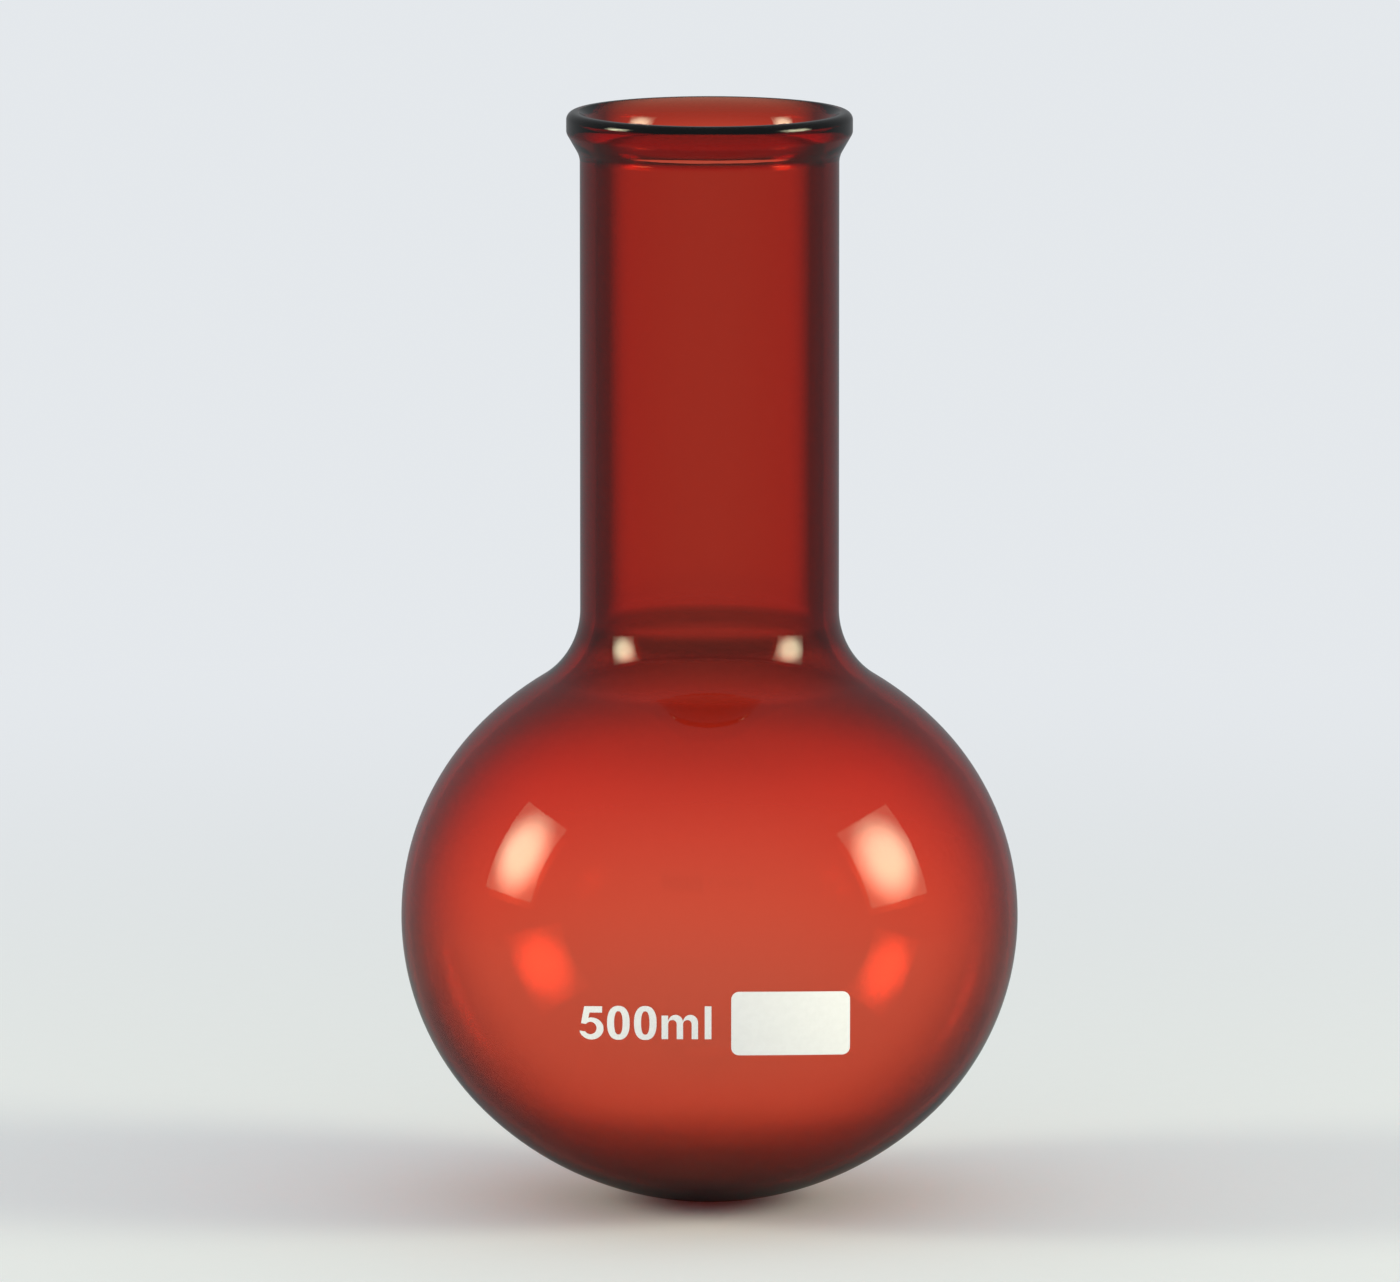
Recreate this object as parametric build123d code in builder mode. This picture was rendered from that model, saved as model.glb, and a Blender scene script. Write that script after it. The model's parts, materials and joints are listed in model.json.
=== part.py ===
"""A 500 ml round-bottom flask, blown as one piece of red-amber glass.

The flask stands in its own frame: +Z is its axis, and the origin is the lowest point of the bulb.
One half section of the glass is drawn and turned about the axis. The section is the outline of the
outside less the outline of the hollow. The hollow sits a little low in the bulb, so the wall thins
from the shoulder to the equator, as it does when a bulb is blown at the end of a tube.
"""

import math
import os

from build123d import *

# Bulb: a ball slightly flattened along the axis
bulb_diameter = 105.0
bulb_height = 97.6
equator_wall = 1.4
base_wall = 1.8
crown_wall = 2.8

# Neck: a straight tube that runs into the bulb through a round shoulder
neck_diameter = 44.0
neck_wall = 2.6
shoulder_radius = 14.0

# Lip: a thick bead, fire-polished on every edge
flask_height = 186.5
lip_overhang = 2.3
lip_height = 9.2
lip_side = 5.0
lip_foot_radius = 6.0
lip_under_radius = 2.7
lip_top_radius = 2.7
mouth_radius = 2.0

# Radii and heights that follow
bulb_radius = bulb_diameter / 2
bulb_middle = bulb_height / 2
neck_radius = neck_diameter / 2
bore_radius = neck_radius - neck_wall
lip_radius = neck_radius + lip_overhang
lip_foot = flask_height - lip_height
hollow_radius = bulb_radius - equator_wall
hollow_top = bulb_height - crown_wall
hollow_middle = (hollow_top + base_wall) / 2
hollow_half_height = (hollow_top - base_wall) / 2
hollow_shoulder_radius = shoulder_radius + neck_wall


def half_ball(radius, half_height, middle):
    """Half the section of a flattened ball: a side arc between two pole arcs of a larger radius.

    The side arc's centre lies off the axis, and each pole arc's on it. The arcs meet in tangents at
    45 degrees, so the centres lie on 45 degree lines, and one offset gives both radii.
    """
    offset = (radius - half_height) / (2 - math.sqrt(2))
    side_radius = radius - offset
    pole_radius = half_height + offset
    with BuildSketch() as ball:
        with BuildLine():
            CenterArc((0, middle + offset), pole_radius, -90, 45)
            CenterArc((offset, middle), side_radius, -45, 90)
            CenterArc((0, middle - offset), pole_radius, 45, 45)
            Line((0, middle + half_height), (0, middle - half_height))
        make_face()
    return ball.sketch


# The hollow: a flattened ball that opens into the bore of the neck
with BuildSketch(Plane.XZ) as hollow:
    add(half_ball(hollow_radius, hollow_half_height, hollow_middle))
    with Locations((0, hollow_middle)):
        Rectangle(bore_radius, flask_height - hollow_middle, align=(Align.MIN, Align.MIN))
    hollow_shoulder = hollow.vertices().sort_by(Axis.Y)[-3]
    fillet(hollow_shoulder, hollow_shoulder_radius)

# The glass: bulb, neck and lip outside, less the hollow
with BuildSketch(Plane.XZ) as section:
    add(half_ball(bulb_radius, bulb_middle, bulb_middle))
    with Locations((0, bulb_middle)):
        Rectangle(neck_radius, flask_height - bulb_middle, align=(Align.MIN, Align.MIN))
    shoulder = section.vertices().sort_by(Axis.Y)[-3]
    fillet(shoulder, shoulder_radius)

    with BuildLine():
        Polyline(
            (bore_radius, lip_foot),
            (neck_radius, lip_foot),
            (lip_radius, flask_height - lip_side),
            (lip_radius, flask_height),
            (bore_radius, flask_height),
            close=True,
        )
    make_face()
    add(hollow.sketch, mode=Mode.SUBTRACT)

    foot = section.vertices().group_by(Axis.Y)[-3]
    fillet(foot, lip_foot_radius)
    underside = section.vertices().group_by(Axis.Y)[-2]
    fillet(underside, lip_under_radius)
    outer_rim = section.vertices().group_by(Axis.Y)[-1].sort_by(Axis.X)[-1]
    fillet(outer_rim, lip_top_radius)
    mouth = section.vertices().group_by(Axis.Y)[-1].sort_by(Axis.X)[0]
    fillet(mouth, mouth_radius)

# One turn about the axis
with BuildPart() as flask:
    add(section.sketch)
    revolve(axis=Axis.Z)

flask.part.label = "flask"

os.makedirs("parts", exist_ok=True)
export_step(flask.part, "parts/flask.step")
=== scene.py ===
"""The looks of a red-amber round-bottom flask: its blown glass, its enamel print and its stage."""
import json
import math

import bmesh
import bpy
import numpy as np
from bpy.props import FloatProperty, FloatVectorProperty, PointerProperty
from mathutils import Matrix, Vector


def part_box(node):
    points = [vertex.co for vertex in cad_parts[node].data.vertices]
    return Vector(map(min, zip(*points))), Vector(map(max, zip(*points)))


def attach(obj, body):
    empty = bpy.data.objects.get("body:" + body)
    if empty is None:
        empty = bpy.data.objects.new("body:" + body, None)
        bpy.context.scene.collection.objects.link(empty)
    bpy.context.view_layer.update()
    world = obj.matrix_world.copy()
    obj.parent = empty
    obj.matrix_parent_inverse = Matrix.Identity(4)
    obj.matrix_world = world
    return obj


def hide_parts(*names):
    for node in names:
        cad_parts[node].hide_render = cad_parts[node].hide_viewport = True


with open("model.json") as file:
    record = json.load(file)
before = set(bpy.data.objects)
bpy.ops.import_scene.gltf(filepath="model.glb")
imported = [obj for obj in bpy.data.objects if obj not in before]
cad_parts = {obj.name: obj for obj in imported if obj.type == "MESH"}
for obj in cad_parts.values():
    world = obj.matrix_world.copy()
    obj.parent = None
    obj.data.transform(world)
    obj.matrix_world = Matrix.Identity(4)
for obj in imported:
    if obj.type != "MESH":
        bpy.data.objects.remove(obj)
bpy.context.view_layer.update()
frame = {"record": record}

bl_info = {
    "name": "Round-bottom flask",
    "version": (1, 0, 0),
    "blender": (4, 5, 0),
    "location": "3D View > Sidebar > Flask",
    "description": "Makes the glass, the enamel print and the stage of a round-bottom flask",
    "category": "Add Mesh",
}

BODY = "root"
NODE = "flask"

# What the frame says of the flask, in metres
lowest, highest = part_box(NODE)
FLASK_HEIGHT = highest.z - lowest.z
BULB_RADIUS = (highest.x - lowest.x) / 2
BORE_MOUNT = next(mount for mount in frame["record"]["mounts"] if mount["name"] == "neck_bore")
BORE_RADIUS = BORE_MOUNT["dims"]["r_mm"] / 1000

# How finely the glass and the enamel are divided
TURN_STEPS = 240
BULB_ARC_STEP = math.radians(2)
FILLET_STEPS = 12
TUBE_STEPS = 16
MOUTH_STEPS = 14
STROKE_STEPS = 3
PATCH_ROWS = 20
PATCH_COLUMNS = 28

# Tints of the glass by share of the flask's height, where it is seen squarely. Besides the glass's
# own tint they hold painted light and shade: darker at the bottom, lighter over the lower bulb,
# darker at the crown, a dark band at the neck's base, and darker at the rim
SQUARE_TINTS_AND_PAINTED_SHADE = [
    (0.0, (0.28, 0.32, 0.32)),
    (0.06, (0.92, 0.95, 0.9)),
    (0.14, (0.88, 0.85, 0.8)),
    (0.3, (1.0, 0.87, 0.78)),
    (0.4, (0.92, 0.88, 0.92)),
    (0.485, (0.56, 0.95, 1.0)),
    (0.511, (0.58, 0.95, 1.0)),
    (0.519, (0.32, 0.6, 0.6)),
    (0.528, (0.32, 0.6, 0.6)),
    (0.536, (0.7, 0.9, 1.0)),
    (0.6, (0.73, 1.0, 1.0)),
    (0.97, (0.73, 1.0, 1.0)),
    (0.99, (0.46, 0.75, 0.8)),
]
# Painted shade, by share of the flask's height, where the glass is seen at a glancing angle: near
# black, in place of the dark surroundings that such a wall would send on
PAINTED_EDGE_SHADE = [
    (0.0, (0.02, 0.03, 0.03)),
    (0.12, (0.03, 0.04, 0.04)),
    (0.3, (0.08, 0.07, 0.07)),
    (0.5, (0.04, 0.05, 0.05)),
    (1.0, (0.03, 0.05, 0.05)),
]
# Between which values of Layer Weight's facing the tint passes into the painted edge shade, on bulb
# and neck
BULB_EDGE = (0.28, 0.88)
NECK_EDGE = (0.26, 0.55)
# Between which heights, in metres, the bulb's values pass into the neck's
NECK_SPAN = (0.090, 0.104)

# The glass: how it bends light, its broad waves, and its fine ones, which are drawn out upwards
GLASS_IOR = 1.47
BROAD_WAVE_SCALE = 45.0
FINE_WAVE_SCALE = 160.0
DRAWN_OUT = (1.0, 1.0, 0.3)
WAVE_DEPTH = 0.0004
HAZE_SPAN = (0.35, 0.75)
MOST_HAZE = 0.035

# The enamel: its faint mottle, and its fine pits
MOTTLE_SCALE = 900.0
DULLED = 0.97
PIT_SCALE = 4200.0
PIT_STRENGTH = 0.25
PIT_DEPTH = 0.00002
ENAMEL_ROUGHNESS = (0.28, 0.42)
NOISE_SPAN = (0.3, 0.7)

# The floor, in metres: it fades into the backdrop's colour between two distances from the flask
FLOOR_RADIUS = 4.0
FLOOR_SIDES = 64
FLOOR_FADE = (0.12, 0.65)
FLOOR_GRAIN_SCALE = 300.0
FLOOR_GRAIN_SHADE = 0.985
FLOOR_ROUGHNESS = 0.6
FLOOR_SPECULAR = 0.2

# The camera: the width of its sensor in millimetres, and what it sees, in metres from it
SENSOR_WIDTH = 36.0
NEAREST = 0.01
FARTHEST = 50.0

# The lamps, in metres and radians
LAMP_DISTANCE = 1.2
LAMP_AIM = 0.065
LAMP_RISE = math.radians(22.5)
LEFT_LAMP_AZIMUTH = math.radians(-82)
RIGHT_LAMP_AZIMUTH = math.radians(76)
LEFT_LAMP_SIZE = (0.54, 0.66)
RIGHT_LAMP_SIZE = (0.64, 0.70)
# Their light falls between two distances from their middle, as shares of their size, to this share
LAMP_FALL = (0.12, 0.6)
LAMP_EDGE = 0.08
LAMP_MIDDLE = (0.5, 0.5, 0.0)


def length(name, description, default):
    """A size in metres that the sidebar shows as a length."""
    return FloatProperty(
        name=name, description=description, default=default, min=0.0, unit="LENGTH", precision=5
    )


def coordinate(name, description, default):
    """A coordinate in metres that the sidebar shows as a length."""
    return FloatProperty(
        name=name, description=description, default=default, unit="LENGTH", precision=5
    )


def number(name, description, default):
    """A plain number of at least nought."""
    return FloatProperty(name=name, description=description, default=default, min=0.0)


def colour(name, description, default):
    """A colour that the sidebar shows as a swatch."""
    return FloatVectorProperty(
        name=name, description=description, default=default,
        min=0.0, max=1.0, subtype="COLOR", size=3,
    )


class FlaskSizes(bpy.types.PropertyGroup):
    """Sizes of the glass and of its print, which are the real flask's."""

    bulb_height: length("Bulb height", "Height of the flattened ball of the bulb", 0.0976)
    equator_wall: length("Equator wall", "Wall of the bulb where it is widest", 0.0014)
    base_wall: length("Base wall", "Wall of the bulb at its lowest point", 0.0018)
    crown_wall: length("Crown wall", "Wall that the bulb would have at its top", 0.0028)
    neck_wall: length("Neck wall", "Wall of the straight neck", 0.0026)
    shoulder_radius: length("Shoulder radius", "Outside fillet between bulb and neck", 0.014)
    lip_overhang: length("Lip overhang", "How far the lip stands out from the neck", 0.0023)
    lip_height: length("Lip height", "From the foot of the lip to its top", 0.0076)
    lip_side: length("Lip side", "From the widest part of the lip to its top", 0.0036)
    lip_foot_radius: length("Lip foot radius", "Fillet where the neck runs out into the lip", 0.004)
    lip_under_radius: length("Lip under radius", "Fillet of the lip's lower edge", 0.0015)
    lip_top_radius: length("Lip top radius", "Fillet of the lip's upper outer edge", 0.0014)
    rim_width: length("Rim width", "From the mouth's edge to the outside of the lip", 0.002)
    rim_edge_radius: length("Rim edge radius", "Fillet of the mouth's edge", 0.0005)
    mouth_depth: length("Mouth depth", "Depth over which the bore flares to the mouth", 0.0056)
    mark_height: length("Mark height", "Height of the printed figures", 0.00578)
    mark_left: coordinate("Mark left", "Left end of the printed capacity", -0.0218)
    mark_foot: coordinate("Mark foot", "Foot of the printed figures above the base", 0.0355)
    patch_width: length("Patch width", "Width of the writing patch", 0.01995)
    patch_height: length("Patch height", "Height of the writing patch", 0.0112)
    patch_corner: length("Patch corner", "Radius of the patch's corners", 0.0013)
    patch_x: coordinate("Patch place", "Middle of the patch, to the right of the axis", 0.0136)
    patch_z: coordinate("Patch height above base", "Middle of the patch above the base", 0.0382)
    print_dip: number("Print dip", "How far the print sinks as the bulb turns away, as a share", 0.14)
    enamel_gap: length("Enamel gap", "Between the glass and the enamel's underside", 0.00001)
    enamel_depth: length("Enamel depth", "Thickness of the enamel", 0.00005)


class FlaskLooks(bpy.types.PropertyGroup):
    """Colours, light and view."""

    glass_colour: colour("Glass colour", "Light that passes the glass best", (0.964, 0.48, 0.34))
    glass_density: number("Glass density", "How soon the glass takes up other light", 1400.0)
    glass_waviness: number("Glass waviness", "How strongly the blown surface waves", 0.05)
    enamel_colour: colour("Enamel colour", "Colour of the print", (0.98, 0.98, 0.97))
    floor_colour: colour("Floor colour", "Colour of the floor", (0.79, 0.84, 0.94))
    backdrop_colour: colour("Backdrop colour", "Colour behind the flask", (0.78, 0.81, 0.84))
    world_light: number("World light", "Strength of the light from all round", 0.65)
    mirror_light: number("Mirror light", "Share of the surroundings that the glass mirrors", 0.3)
    lamp_radiance: number("Lamp radiance", "Brightness of the middle of the lamps", 14.5)
    lamp_colour: colour("Lamp colour", "Colour of the soft lamps", (1.0, 0.97, 0.64))
    camera_distance: length("Camera distance", "From the camera to the flask's axis", 3.38)
    camera_height: length("Camera height", "Above the flask's base", 0.571)
    view_width: length("View width", "Width of the view at the axis", 0.23569)
    view_x: coordinate("View middle", "Middle of the view, to the right of the axis", -0.00162)
    view_z: coordinate("View height", "Middle of the view above the base", 0.0959)


def arc(centre, radius, start, end, steps):
    """Points of an arc: centre plus radius times cosine and sine of an angle that runs evenly."""
    angle = np.linspace(start, end, steps + 1)
    across = centre[0] + radius * np.cos(angle)
    upwards = centre[1] + radius * np.sin(angle)
    return np.stack([across, upwards], axis=1)


def corner_fillet(before, corner, after, radius):
    """Points of the arc that rounds a corner.

    The arc touches both sides at radius divided by the tangent of half the corner's angle, and its
    centre lies on the corner's bisector at radius divided by the sine of that half angle.
    """
    before, corner, after = (np.array(point, float) for point in (before, corner, after))
    back = (before - corner) / np.linalg.norm(before - corner)
    ahead = (after - corner) / np.linalg.norm(after - corner)
    half_angle = math.acos(np.dot(back, ahead)) / 2
    bisector = (back + ahead) / np.linalg.norm(back + ahead)
    centre = corner + bisector * radius / math.sin(half_angle)
    reach = radius / math.tan(half_angle)
    start_arm = corner + back * reach - centre
    end_arm = corner + ahead * reach - centre
    start = math.atan2(start_arm[1], start_arm[0])
    turn = math.atan2(
        start_arm[0] * end_arm[1] - start_arm[1] * end_arm[0], float(np.dot(start_arm, end_arm))
    )
    return arc(centre, radius, start, start + turn, FILLET_STEPS)


def ball_offset(radius, half_height):
    """How far the centres of a flattened ball's arcs lie from its middle.

    The side arc's centre lies that far off the axis, and each pole arc's on it, so that they meet
    in tangents at 45 degrees: the radius less the half height, over 2 less the root of 2.
    """
    return (radius - half_height) / (2 - math.sqrt(2))


def ball_and_tube(radius, half_height, middle, tube_radius, shoulder_radius):
    """Outline of a flattened ball, from its lowest point up to where it has become a tube.

    The shoulder's arc touches the tube and the upper pole arc from outside, so its centre is as far
    from the pole arc's centre as their two radii added up.
    """
    offset = ball_offset(radius, half_height)
    side_radius = radius - offset
    pole_radius = half_height + offset
    pole_centre = middle - offset
    shoulder_r = tube_radius + shoulder_radius
    shoulder_rise = math.sqrt((pole_radius + shoulder_radius) ** 2 - shoulder_r ** 2)
    meeting = math.atan2(shoulder_rise, shoulder_r)
    quarter = math.pi / 4

    def steps(angle):
        return max(2, round(angle / BULB_ARC_STEP))

    return np.concatenate([
        arc((0, middle + offset), pole_radius, -2 * quarter, -quarter, steps(quarter))[:-1],
        arc((offset, middle), side_radius, -quarter, quarter, steps(2 * quarter))[:-1],
        arc((0, pole_centre), pole_radius, quarter, meeting, steps(meeting - quarter))[:-1],
        arc((shoulder_r, pole_centre + shoulder_rise), shoulder_radius,
            math.pi + meeting, math.pi, 2 * FILLET_STEPS),
    ])


def flask_outline(sizes):
    """Half section of the glass, as radius and height: up the outside, over the lip and down inside.

    The mouth flares in an arc that touches the bore at its foot. The slope is the flare's angle to
    the axis at the mouth, which is twice that of the chord, and the mouth's edge is rounded to it.
    """
    neck_radius = BORE_RADIUS + sizes.neck_wall
    lip_radius = neck_radius + sizes.lip_overhang
    bulb_middle = sizes.bulb_height / 2
    hollow_top = sizes.bulb_height - sizes.crown_wall
    outside = ball_and_tube(
        BULB_RADIUS, bulb_middle, bulb_middle, neck_radius, sizes.shoulder_radius
    )
    inside = ball_and_tube(
        BULB_RADIUS - sizes.equator_wall,
        (hollow_top - sizes.base_wall) / 2,
        (hollow_top + sizes.base_wall) / 2,
        BORE_RADIUS,
        sizes.shoulder_radius + sizes.neck_wall,
    )
    mouth_radius = lip_radius - sizes.rim_width
    flare = mouth_radius - BORE_RADIUS
    slope = 2 * math.atan2(flare, sizes.mouth_depth)
    corners = [
        outside[-1],
        (neck_radius, FLASK_HEIGHT - sizes.lip_height),
        (lip_radius, FLASK_HEIGHT - sizes.lip_side),
        (lip_radius, FLASK_HEIGHT),
        (mouth_radius, FLASK_HEIGHT),
        (mouth_radius - math.sin(slope), FLASK_HEIGHT - math.cos(slope)),
    ]
    radii = [
        sizes.lip_foot_radius, sizes.lip_under_radius, sizes.lip_top_radius, sizes.rim_edge_radius
    ]
    lip = np.concatenate([
        corner_fillet(*corners[first : first + 3], radius) for first, radius in enumerate(radii)
    ])
    flare_radius = (flare ** 2 + sizes.mouth_depth ** 2) / (2 * flare)
    centre = np.array([BORE_RADIUS + flare_radius, FLASK_HEIGHT - sizes.mouth_depth])
    edge = lip[-1] - centre
    mouth = arc(centre, flare_radius, math.atan2(edge[1], edge[0]), math.pi, MOUTH_STEPS)[1:]
    neck = np.linspace(outside[-1], lip[0], TUBE_STEPS + 1)[1:-1]
    bore = np.linspace(mouth[-1], inside[-1], TUBE_STEPS + 1)[1:-1]
    outline = np.concatenate([outside, neck, lip, mouth, bore, inside[::-1]])
    outline[[0, -1], 0] = 0.0
    return outline


def surface_mesh(name, points, faces, material):
    """A mesh object at the origin, smooth all over, from an array of points and a list of faces."""
    mesh = bpy.data.meshes.new(name)
    mesh.from_pydata(points.reshape(-1, 3).tolist(), [], faces)
    mesh.polygons.foreach_set("use_smooth", np.ones(len(mesh.polygons), bool))
    mesh.materials.append(material)
    mesh.validate()
    mesh.update()
    piece = bpy.data.objects.new(name, mesh)
    bpy.context.scene.collection.objects.link(piece)
    return piece


def ring_faces(rows, columns):
    """Quads between neighbouring rings of points, where the last column joins the first."""
    row = np.arange(rows - 1)[:, None] * columns
    column = np.arange(columns)[None, :]
    ahead = (column + 1) % columns
    quads = np.stack(
        [row + column, row + ahead, row + columns + ahead, row + columns + column], axis=-1
    )
    return quads.reshape(-1, 4).tolist()


def turned(name, outline, material):
    """An outline turned about the Z axis: x and y are its radius times cosine and sine of the turn.

    Its first and last points lie on the axis, and each becomes one point with a fan of triangles.
    """
    turn = np.linspace(0, 2 * math.pi, TURN_STEPS, endpoint=False)
    rings = outline[1:-1]
    radius = rings[:, :1]
    height = rings[:, 1:]
    points = np.stack(
        [radius * np.cos(turn), radius * np.sin(turn), height + 0 * turn], axis=-1
    ).reshape(-1, 3)
    poles = np.array([[0, 0, outline[0, 1]], [0, 0, outline[-1, 1]]])
    first = np.full(TURN_STEPS, len(points))
    last = first + 1
    column = np.arange(TURN_STEPS)
    ahead = (column + 1) % TURN_STEPS
    last_ring = len(points) - TURN_STEPS
    start_fan = np.stack([first, ahead, column], axis=1).tolist()
    end_fan = np.stack([last, last_ring + column, last_ring + ahead], axis=1).tolist()
    faces = ring_faces(len(rings), TURN_STEPS) + start_fan + end_fan
    return surface_mesh(name, np.concatenate([points, poles]), faces, material)


def opaque(tone, share=1.0):
    """A share of a colour, as a node's colour without transparency."""
    return (*(share * part for part in tone), 1.0)


class Graph:
    """The node tree of a material, a lamp or the world, with short ways to add and link nodes."""

    def __init__(self, owner):
        owner.use_nodes = True
        self.tree = owner.node_tree
        self.tree.nodes.clear()

    def add(self, kind, inputs=None, **settings):
        """A node of a kind. Each input is a value, or another node's output to link to it."""
        node = self.tree.nodes.new(kind)
        for key, value in settings.items():
            setattr(node, key, value)
        for key, value in (inputs or {}).items():
            if isinstance(value, bpy.types.NodeSocket):
                self.tree.links.new(value, node.inputs[key])
            else:
                node.inputs[key].default_value = value
        return node

    def maths(self, operation, first, second, clamp=False):
        """Two values worked into one, and kept between nought and one if clamped."""
        settings = {"operation": operation, "use_clamp": clamp}
        return self.add("ShaderNodeMath", {0: first, 1: second}, **settings).outputs["Value"]

    def noise(self, place, scale, detail=2.0):
        """Soft noise between nought and one."""
        inputs = {"Vector": place, "Scale": scale, "Detail": detail}
        return self.add("ShaderNodeTexNoise", inputs).outputs["Fac"]

    def remap(self, value, low, high, to_low=0.0, to_high=1.0, smooth=True):
        """A value carried from one range to another, with soft ends where smooth."""
        kind = "SMOOTHSTEP" if smooth else "LINEAR"
        inputs = {"Value": value, 1: low, 2: high, 3: to_low, 4: to_high}
        return self.add("ShaderNodeMapRange", inputs, interpolation_type=kind).outputs["Result"]

    def blend(self, factor, first, second):
        """Two colours blended by a factor."""
        inputs = {0: factor, 6: first, 7: second}
        return self.add("ShaderNodeMix", inputs, data_type="RGBA").outputs[2]

    def dimmed_mirror(self, shader, share):
        """A shader of the surroundings, of which a mirroring surface shows only a share.

        A ray that glass lets through counts as glossy too, so it is taken off again.
        """
        path = self.add("ShaderNodeLightPath").outputs
        mirrored = self.maths(
            "SUBTRACT", path["Is Glossy Ray"], path["Is Transmission Ray"], clamp=True
        )
        hidden = self.maths("MULTIPLY", mirrored, 1.0 - share)
        return self.add("ShaderNodeMixShader", {0: hidden, 1: shader}).outputs["Shader"]

    def ramp(self, factor, stops):
        """A colour that runs softly through the given places and colours."""
        node = self.add("ShaderNodeValToRGB", {"Fac": factor})
        node.color_ramp.interpolation = "EASE"
        elements = node.color_ramp.elements
        while len(elements) < len(stops):
            elements.new(1.0)
        for element, (place, tone) in zip(elements, stops):
            element.position = place
            element.color = opaque(tone)
        return node.outputs["Color"]


def amber_glass(looks):
    """Clear blown glass that takes up green and blue as light goes through it.

    The surface is tinted by height, with painted light and shade in bands: darker at the bottom,
    the crown, the neck's base and the rim. Where it is seen at a glancing angle it is darkened
    with painted shade, which stands in for the dark surroundings that a wall would send on from far
    to the side of the flask. Broad and fine waves stand in its surface, and where the fine ones
    rise it is a trace hazy.
    """
    material = bpy.data.materials.new("amber_glass")
    graph = Graph(material)
    place = graph.add("ShaderNodeTexCoord").outputs["Object"]
    height = graph.add("ShaderNodeSeparateXYZ", {"Vector": place}).outputs["Z"]
    share = graph.remap(height, 0.0, FLASK_HEIGHT, smooth=False)
    # Tint by height with painted shade bands, then painted shade where the wall is seen at a glancing
    # angle
    body = graph.ramp(share, SQUARE_TINTS_AND_PAINTED_SHADE)
    edge = graph.ramp(share, PAINTED_EDGE_SHADE)
    facing = graph.add("ShaderNodeLayerWeight").outputs["Facing"]
    onset = graph.remap(height, *NECK_SPAN, BULB_EDGE[0], NECK_EDGE[0])
    full = graph.remap(height, *NECK_SPAN, BULB_EDGE[1], NECK_EDGE[1])
    glancing = graph.remap(facing, onset, full)
    tint_and_painted_shade = graph.blend(glancing, body, edge)

    broad = graph.noise(place, BROAD_WAVE_SCALE, 1.0)
    drawn_out = graph.add("ShaderNodeMapping", {"Vector": place, "Scale": DRAWN_OUT})
    fine = graph.noise(drawn_out.outputs["Vector"], FINE_WAVE_SCALE)
    bump = graph.add("ShaderNodeBump", {
        "Strength": looks.glass_waviness,
        "Distance": WAVE_DEPTH,
        "Height": graph.maths("ADD", broad, fine),
    })
    shader = graph.add("ShaderNodeBsdfPrincipled", {
        "Base Color": tint_and_painted_shade,
        "Roughness": graph.remap(fine, *HAZE_SPAN, 0.0, MOST_HAZE),
        "IOR": GLASS_IOR,
        "Transmission Weight": 1.0,
        "Normal": bump.outputs["Normal"],
    })
    inside = graph.add("ShaderNodeVolumeAbsorption", {
        "Color": opaque(looks.glass_colour), "Density": looks.glass_density,
    })
    graph.add("ShaderNodeOutputMaterial", {
        "Surface": shader.outputs["BSDF"], "Volume": inside.outputs["Volume"],
    })
    return material


def white_enamel(looks):
    """Thin enamel, fired on: white, with a faint mottle and the fine pits of a printed layer."""
    material = bpy.data.materials.new("white_enamel")
    graph = Graph(material)
    place = graph.add("ShaderNodeTexCoord").outputs["Object"]
    mottle = graph.remap(graph.noise(place, MOTTLE_SCALE, 3.0), *NOISE_SPAN)
    pits = graph.noise(place, PIT_SCALE)
    white = opaque(looks.enamel_colour)
    dull = opaque(looks.enamel_colour, DULLED)
    bump = graph.add(
        "ShaderNodeBump", {"Strength": PIT_STRENGTH, "Distance": PIT_DEPTH, "Height": pits}
    )
    shader = graph.add("ShaderNodeBsdfPrincipled", {
        "Base Color": graph.blend(mottle, dull, white),
        "Roughness": graph.remap(pits, *NOISE_SPAN, *ENAMEL_ROUGHNESS),
        "Normal": bump.outputs["Normal"],
    })
    graph.add("ShaderNodeOutputMaterial", {"Surface": shader.outputs["BSDF"]})
    return material


def line(start, end, steps):
    """Points of a straight line, evenly spaced."""
    return np.linspace(start, end, steps + 1)


def oval(centre, reach, start, end, steps, squareness=2.0):
    """Points of an oval arc: its reach times the 2/squareness powers of cosine and sine."""
    angle = np.radians(np.linspace(start, end, steps + 1))
    wave = np.stack([np.cos(angle), np.sin(angle)], axis=1)
    return np.array(centre) + np.array(reach) * np.sign(wave) * np.abs(wave) ** (2 / squareness)


def figure_five():
    """The edges of a 5. One runs over the bar, down the stem and round inside the bowl."""
    outer = [
        line((0.647, 0.988), (0.129, 0.988), 6),
        line((0.129, 0.988), (0.035, 0.471), 6)[1:],
        line((0.035, 0.471), (0.178, 0.450), 3)[1:],
        oval((0.306, 0.324), (0.182, 0.192), 138, -146, 30)[1:],
    ]
    inner = [
        line((0.647, 0.800), (0.282, 0.800), 6),
        line((0.282, 0.800), (0.244, 0.634), 6)[1:],
        oval((0.335, 0.309), (0.353, 0.338), 105, -168, 33)[1:],
    ]
    return np.concatenate(outer), np.concatenate(inner)


def figure_nought():
    """The edges of a 0: two upright ovals."""
    outer = oval((0.327, 0.488), (0.327, 0.518), 0, 360, 48, 2.4)
    inner = oval((0.327, 0.488), (0.124, 0.359), 0, 360, 48, 2.4)
    return outer, inner


def letter_stem(tall, wide):
    """The edges of an upright bar."""
    return line((0, 0), (0, tall), 8), line((wide, 0), (wide, tall), 8)


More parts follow.
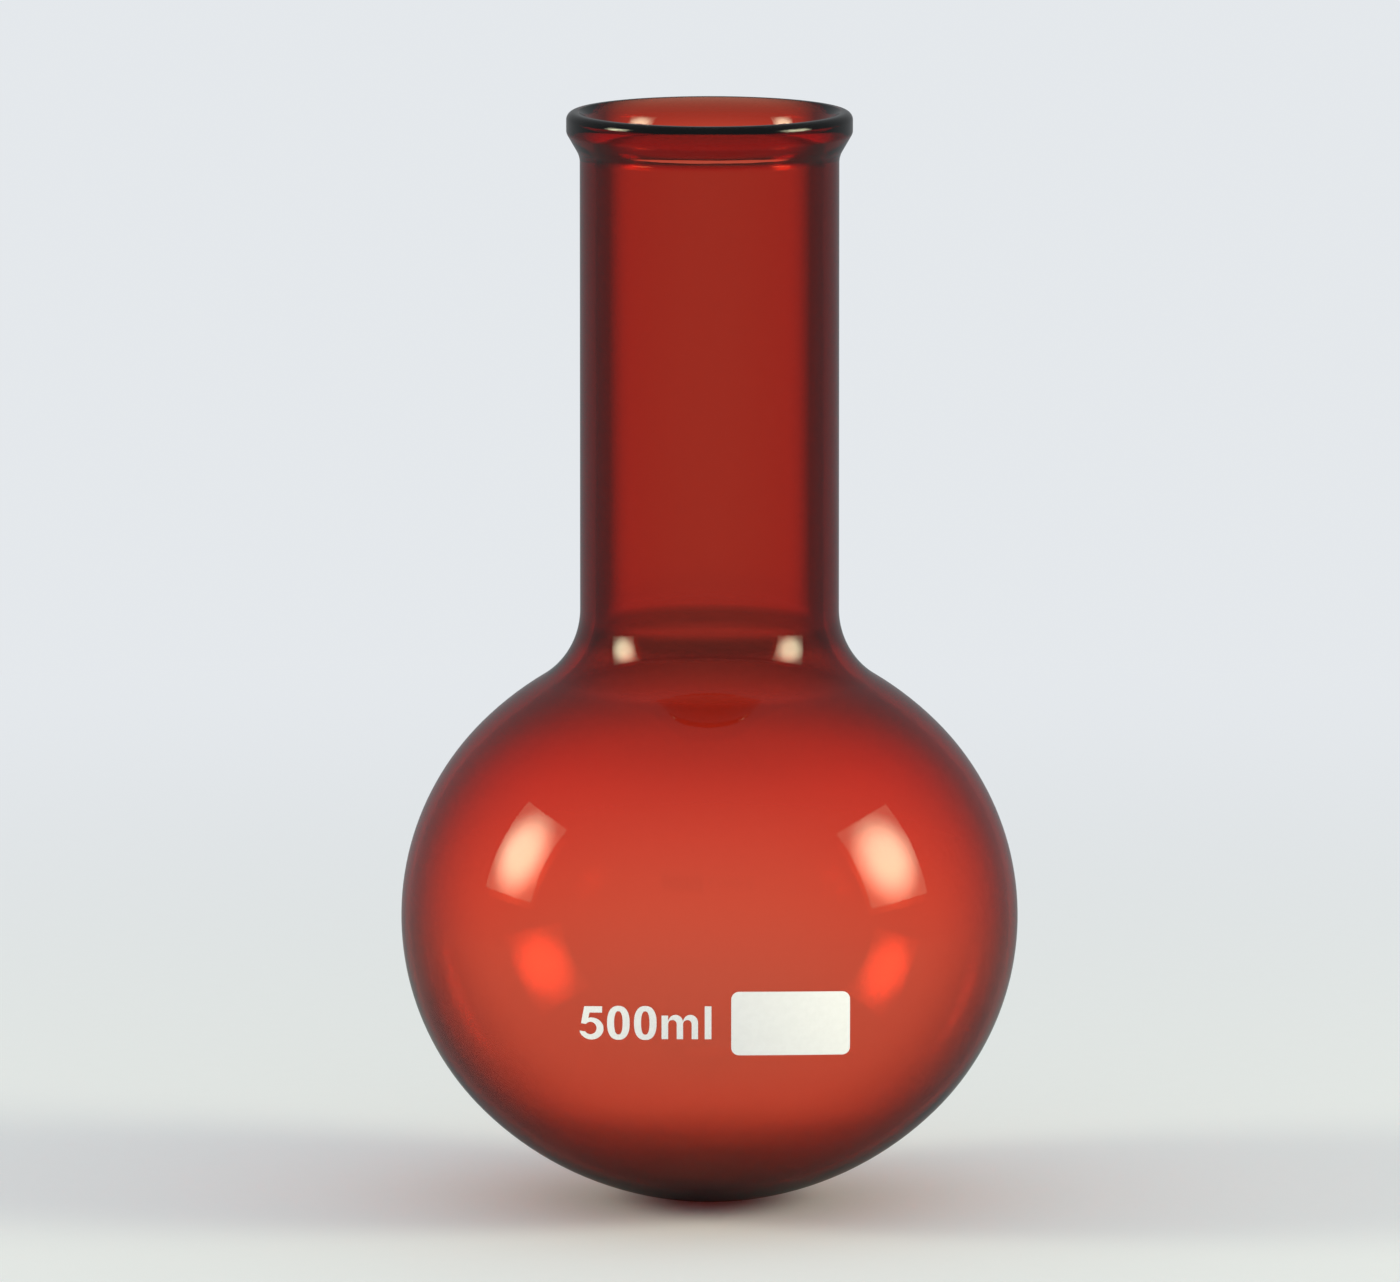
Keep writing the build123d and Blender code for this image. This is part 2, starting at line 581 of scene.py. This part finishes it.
def letter_arch():
    """The edges of one arch of an m, from the stem before it, over and down."""
    outer = [
        oval((0.405, 0.500), (0.219, 0.241), 169, 0, 18),
        line((0.624, 0.500), (0.624, 0), 5)[1:],
    ]
    inner = [
        oval((0.315, 0.460), (0.125, 0.128), 180, 0, 18),
        line((0.440, 0.460), (0.440, 0), 5)[1:],
    ]
    return np.concatenate(outer), np.concatenate(inner)


def mark_strokes():
    """Each stroke of 500ml: how far along it stands, and its two edges, in heights of the figures."""
    return [
        (0.0, figure_five()),
        (0.794, figure_nought()),
        (1.576, figure_nought()),
        (2.376, letter_stem(0.718, 0.190)),
        (2.376, letter_arch()),
        (2.810, letter_arch()),
        (3.629, letter_stem(1.0, 0.194)),
    ]


def on_bulb(sizes, x, z, lift):
    """Points of the bulb's front at given x and z, lifted off the glass.

    There the bulb's outline is its side arc, whose centre lies off the axis: its radius at z is that
    offset plus the arc's own half chord, and the way out of the glass is the arc's radius there. The
    print first sinks by its dip times how far the glass has turned back from its foremost line.
    """
    middle = sizes.bulb_height / 2
    offset = ball_offset(BULB_RADIUS, middle)
    side_radius = BULB_RADIUS - offset
    front = offset + np.sqrt(side_radius ** 2 - (z - middle) ** 2)
    z = z - sizes.print_dip * (front - np.sqrt(front ** 2 - x ** 2))
    chord = np.sqrt(side_radius ** 2 - (z - middle) ** 2)
    radius = offset + chord
    y = -np.sqrt(radius ** 2 - x ** 2)
    out = np.stack([x / radius * chord, y / radius * chord, z - middle], axis=-1) / side_radius
    return np.stack([x, y, z], axis=-1) + out * lift


def layer(sizes, x, z, closed):
    """Points and faces of a thin closed layer of enamel over a grid of x and z.

    Each row of the grid becomes a ring: its points on top of the layer, and back underneath. The
    rings are joined along the grid, and its first and last are closed unless it meets itself.
    """
    top = on_bulb(sizes, x, z, sizes.enamel_gap + sizes.enamel_depth)
    under = on_bulb(sizes, x, z, sizes.enamel_gap)
    rows, across = x.shape
    if closed:
        top = top[:-1]
        under = under[:-1]
        rows = rows - 1
    ring = np.concatenate([top, under[:, ::-1]], axis=1)
    size = 2 * across
    column = np.arange(size)
    ahead = (column + 1) % size
    row = np.arange(rows if closed else rows - 1)[:, None] * size
    following = (row + size) % (rows * size)
    faces = np.stack(
        [row + column, following + column, following + ahead, row + ahead], axis=-1
    ).reshape(-1, 4)
    if not closed:
        step = np.arange(across - 1)
        first = np.stack([step, step + 1, size - 2 - step, size - 1 - step], axis=1)
        last = first[:, ::-1] + (rows - 1) * size
        faces = np.concatenate([faces, first, last])
    return ring.reshape(-1, 3), faces


def enamel_piece(name, layers, material):
    """One mesh object from several layers of enamel, with every face turned outwards."""
    counts = [len(points) for points, _ in layers]
    starts = np.cumsum([0, *counts[:-1]])
    points = np.concatenate([points for points, _ in layers])
    faces = np.concatenate([faces + start for (_, faces), start in zip(layers, starts)])
    piece = surface_mesh(name, points, faces.tolist(), material)
    shape = bmesh.new()
    shape.from_mesh(piece.data)
    bmesh.ops.recalc_face_normals(shape, faces=shape.faces)
    shape.to_mesh(piece.data)
    shape.free()
    piece.data.polygons.foreach_set("use_smooth", np.zeros(len(piece.data.polygons), bool))
    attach(piece, BODY)


class MESH_OT_flask_glass(bpy.types.Operator):
    """Make the flask's glass: its half section turned about the axis"""

    bl_idname = "mesh.flask_glass"
    bl_label = "Flask glass"
    bl_options = {"REGISTER", "UNDO"}

    def execute(self, context):
        outline = flask_outline(context.scene.flask_sizes)
        piece = turned("flask_glass", outline, amber_glass(context.scene.flask_looks))
        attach(piece, BODY)
        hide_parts(NODE)
        return {"FINISHED"}


class MESH_OT_flask_mark(bpy.types.Operator):
    """Print the capacity on the front of the bulb, in white enamel"""

    bl_idname = "mesh.flask_mark"
    bl_label = "Capacity mark"
    bl_options = {"REGISTER", "UNDO"}

    def execute(self, context):
        sizes = context.scene.flask_sizes
        layers = []
        for shift, (first, second) in mark_strokes():
            across = np.linspace(0, 1, STROKE_STEPS + 1)[None, :, None]
            grid = first[:, None] * (1 - across) + second[:, None] * across
            x = sizes.mark_left + sizes.mark_height * (grid[..., 0] + shift)
            z = sizes.mark_foot + sizes.mark_height * grid[..., 1]
            layers.append(layer(sizes, x, z, closed=np.allclose(first[0], first[-1])))
        enamel_piece("capacity_mark", layers, white_enamel(context.scene.flask_looks))
        return {"FINISHED"}


class MESH_OT_flask_patch(bpy.types.Operator):
    """Print the white patch to write on, beside the capacity mark"""

    bl_idname = "mesh.flask_patch"
    bl_label = "Writing patch"
    bl_options = {"REGISTER", "UNDO"}

    def execute(self, context):
        sizes = context.scene.flask_sizes
        half_width = sizes.patch_width / 2
        half_height = sizes.patch_height / 2
        corner = sizes.patch_corner
        # Rows crowd towards the round corners, where a row is shorter by the corner's inset
        row = np.sin(np.linspace(-math.pi / 2, math.pi / 2, PATCH_ROWS + 1)) * half_height
        depth = np.maximum(np.abs(row) - (half_height - corner), 0.0)
        reach = half_width - corner + np.sqrt(corner ** 2 - depth ** 2)
        across = np.linspace(-1, 1, PATCH_COLUMNS + 1)
        x = sizes.patch_x + reach[:, None] * across[None, :]
        z = sizes.patch_z + row[:, None] + 0 * across[None, :]
        material = bpy.data.materials.get("white_enamel")
        if material is None:
            material = white_enamel(context.scene.flask_looks)
        enamel_piece("writing_patch", [layer(sizes, x, z, closed=False)], material)
        return {"FINISHED"}


def pale_floor(looks):
    """A plain matt floor that runs out into the backdrop's colour, so that no edge of it shows.

    A mirroring surface shows only a share of it.
    """
    material = bpy.data.materials.new("floor")
    graph = Graph(material)
    place = graph.add("ShaderNodeTexCoord").outputs["Object"]
    distance = graph.add("ShaderNodeVectorMath", {0: place}, operation="LENGTH").outputs["Value"]
    light = opaque(looks.floor_colour)
    dark = opaque(looks.floor_colour, FLOOR_GRAIN_SHADE)
    matt = graph.add("ShaderNodeBsdfPrincipled", {
        "Base Color": graph.blend(graph.noise(place, FLOOR_GRAIN_SCALE), dark, light),
        "Roughness": FLOOR_ROUGHNESS,
        "Specular IOR Level": FLOOR_SPECULAR,
    })
    far = graph.add("ShaderNodeEmission", {"Color": opaque(looks.backdrop_colour)})
    mixed = graph.add("ShaderNodeMixShader", {
        0: graph.remap(distance, *FLOOR_FADE), 1: matt.outputs["BSDF"], 2: far.outputs["Emission"],
    })
    shown = graph.dimmed_mirror(mixed.outputs["Shader"], looks.mirror_light)
    graph.add("ShaderNodeOutputMaterial", {"Surface": shown})
    return material


def studio_world(looks):
    """Even light from all round, in whose place the camera and the glass see the pale backdrop.

    A mirroring surface shows only a share of it.
    """
    world = bpy.data.worlds.new("studio")
    graph = Graph(world)
    path = graph.add("ShaderNodeLightPath").outputs
    direct = graph.maths("ADD", path["Is Camera Ray"], path["Is Transmission Ray"])
    seen = graph.maths("ADD", direct, path["Is Glossy Ray"], clamp=True)
    white = opaque((1.0, 1.0, 1.0))
    light = graph.add("ShaderNodeBackground", {"Color": white, "Strength": looks.world_light})
    backdrop = graph.add("ShaderNodeBackground", {"Color": opaque(looks.backdrop_colour)})
    mixed = graph.add("ShaderNodeMixShader", {
        0: seen, 1: light.outputs["Background"], 2: backdrop.outputs["Background"],
    })
    shown = graph.dimmed_mirror(mixed.outputs["Shader"], looks.mirror_light)
    graph.add("ShaderNodeOutputWorld", {"Surface": shown})
    bpy.context.scene.world = world


def softbox(name, azimuth, wide, tall, looks):
    """A soft rectangular lamp that faces the bulb, brightest in its middle, hidden from the camera.

    Its power is the radiance of its middle, times pi and its area. The radiance falls away smoothly
    with the distance from the middle, in shares of the lamp's width and height.
    """
    lamp = bpy.data.lights.new(name, "AREA")
    lamp.shape = "RECTANGLE"
    lamp.size = wide
    lamp.size_y = tall
    lamp.energy = looks.lamp_radiance * math.pi * wide * tall
    graph = Graph(lamp)
    face = graph.add("ShaderNodeNewGeometry").outputs["Parametric"]
    place = graph.add("ShaderNodeVectorMath", {0: face, 1: LAMP_MIDDLE}, operation="SUBTRACT")
    distance = graph.add("ShaderNodeVectorMath", {0: place.outputs["Vector"]}, operation="LENGTH")
    strength = graph.remap(distance.outputs["Value"], *LAMP_FALL, 1.0, LAMP_EDGE)
    tone = opaque(looks.lamp_colour)
    glow = graph.add("ShaderNodeEmission", {"Color": tone, "Strength": strength})
    graph.add("ShaderNodeOutputLight", {"Surface": glow.outputs["Emission"]})
    holder = bpy.data.objects.new(name, lamp)
    bpy.context.scene.collection.objects.link(holder)
    direction = Vector((math.sin(azimuth), -math.cos(azimuth), math.tan(LAMP_RISE)))
    holder.location = Vector((0, 0, LAMP_AIM)) + direction * LAMP_DISTANCE
    holder.rotation_euler = (-direction).to_track_quat("-Z", "Y").to_euler()
    holder.visible_camera = False


class SCENE_OT_flask_stage(bpy.types.Operator):
    """Set up the floor, the soft lamps, the backdrop and the camera"""

    bl_idname = "scene.flask_stage"
    bl_label = "Stage"
    bl_options = {"REGISTER", "UNDO"}

    def execute(self, context):
        looks = context.scene.flask_looks
        turn = np.linspace(0, 2 * math.pi, FLOOR_SIDES, endpoint=False)
        rim = np.stack([np.cos(turn), np.sin(turn), 0 * turn], axis=1) * FLOOR_RADIUS
        floor = surface_mesh("floor", rim, [list(range(FLOOR_SIDES))], pale_floor(looks))
        studio_world(looks)
        softbox("left_softbox", LEFT_LAMP_AZIMUTH, *LEFT_LAMP_SIZE, looks)
        softbox("right_softbox", RIGHT_LAMP_AZIMUTH, *RIGHT_LAMP_SIZE, looks)

        view = bpy.data.cameras.new("camera")
        view.sensor_width = SENSOR_WIDTH
        view.lens = SENSOR_WIDTH * looks.camera_distance / looks.view_width
        view.clip_start = NEAREST
        view.clip_end = FARTHEST
        camera = bpy.data.objects.new("camera", view)
        context.scene.collection.objects.link(camera)
        centre = Vector((looks.view_x, 0, looks.view_z))
        camera.location = (looks.view_x, -looks.camera_distance, looks.camera_height)
        camera.rotation_euler = (centre - camera.location).to_track_quat("-Z", "Y").to_euler()
        context.scene.camera = camera
        context.scene.view_settings.view_transform = "Standard"
        return {"FINISHED"}


class VIEW3D_PT_flask(bpy.types.Panel):
    """The sizes and colours of the flask, and a button for each piece"""

    bl_label = "Round-bottom flask"
    bl_idname = "VIEW3D_PT_flask"
    bl_space_type = "VIEW_3D"
    bl_region_type = "UI"
    bl_category = "Flask"

    def draw(self, context):
        layout = self.layout
        for operator in OPERATORS:
            layout.operator(operator.bl_idname)
        for group in (context.scene.flask_sizes, context.scene.flask_looks):
            column = layout.column(align=True)
            for name in group.__annotations__:
                column.prop(group, name)


OPERATORS = (MESH_OT_flask_glass, MESH_OT_flask_mark, MESH_OT_flask_patch, SCENE_OT_flask_stage)
CLASSES = (FlaskSizes, FlaskLooks, *OPERATORS, VIEW3D_PT_flask)


def register():
    for kind in CLASSES:
        bpy.utils.register_class(kind)
    bpy.types.Scene.flask_sizes = PointerProperty(type=FlaskSizes)
    bpy.types.Scene.flask_looks = PointerProperty(type=FlaskLooks)


def unregister():
    del bpy.types.Scene.flask_looks
    del bpy.types.Scene.flask_sizes
    for kind in reversed(CLASSES):
        bpy.utils.unregister_class(kind)


def main():
    register()
    bpy.ops.mesh.flask_glass()
    bpy.ops.mesh.flask_mark()
    bpy.ops.mesh.flask_patch()
    bpy.ops.scene.flask_stage()


if __name__ == "__main__":
    main()
